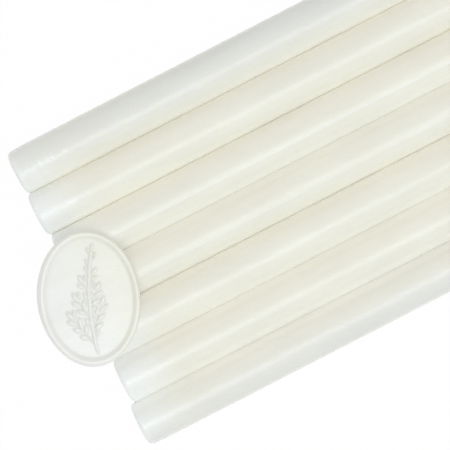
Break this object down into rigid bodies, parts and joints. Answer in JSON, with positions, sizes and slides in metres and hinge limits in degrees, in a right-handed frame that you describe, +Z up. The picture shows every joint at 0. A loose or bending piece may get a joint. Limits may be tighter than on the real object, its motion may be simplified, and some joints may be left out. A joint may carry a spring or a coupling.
{
  "type": "sealing wax stick set",
  "caption": "Row of round ivory sealing wax sticks for a melting gun, lying side by side, with a stamped oval wax seal resting on their ends.",
  "frame": {"origin": "on the table, under the middle of the box round all the sticks and the seal", "axes": "+X along the sticks, away from the end with the seal; +Y across the row towards the first stick; +Z up"},
  "size_m": [0.1458, 0.0782, 0.0137],
  "materials": {
    "stick_wax": "satin ivory pearl wax, slightly translucent",
    "seal_wax": "satin ivory pearl wax, pressed smooth by the stamp"
  },
  "bodies": {
    "wax_stick_1": {"wax_stick_1": "stick_wax"},
    "wax_stick_2": {"wax_stick_2": "stick_wax"},
    "wax_stick_3": {"wax_stick_3": "stick_wax"},
    "wax_stick_4": {"wax_stick_4": "stick_wax"},
    "wax_stick_5": {"wax_stick_5": "stick_wax"},
    "wax_stick_6": {"wax_stick_6": "stick_wax"},
    "wax_stick_7": {"wax_stick_7": "stick_wax"},
    "stamped_seal": {"stamped_seal": "seal_wax"}
  },
  "joints": [
    {"name": "wax_stick_1_draw", "type": "slide", "parent": "wax_stick_4", "child": "wax_stick_1", "axis": [1, 0, 0], "range_m": [0, 0.14]},
    {"name": "wax_stick_2_draw", "type": "slide", "parent": "wax_stick_4", "child": "wax_stick_2", "axis": [1, 0, 0], "range_m": [0, 0.14]},
    {"name": "wax_stick_3_draw", "type": "slide", "parent": "wax_stick_4", "child": "wax_stick_3", "axis": [1, 0, 0], "range_m": [0, 0.14]},
    {"name": "wax_stick_5_draw", "type": "slide", "parent": "wax_stick_4", "child": "wax_stick_5", "axis": [1, 0, 0], "range_m": [0, 0.14]},
    {"name": "wax_stick_6_draw", "type": "slide", "parent": "wax_stick_4", "child": "wax_stick_6", "axis": [1, 0, 0], "range_m": [0, 0.14]},
    {"name": "wax_stick_7_draw", "type": "slide", "parent": "wax_stick_4", "child": "wax_stick_7", "axis": [1, 0, 0], "range_m": [0, 0.14]},
    {"name": "stamped_seal_lift", "type": "slide", "parent": "wax_stick_4", "child": "stamped_seal", "axis": [0, 0, 1], "range_m": [0, 0.04]}
  ]
}
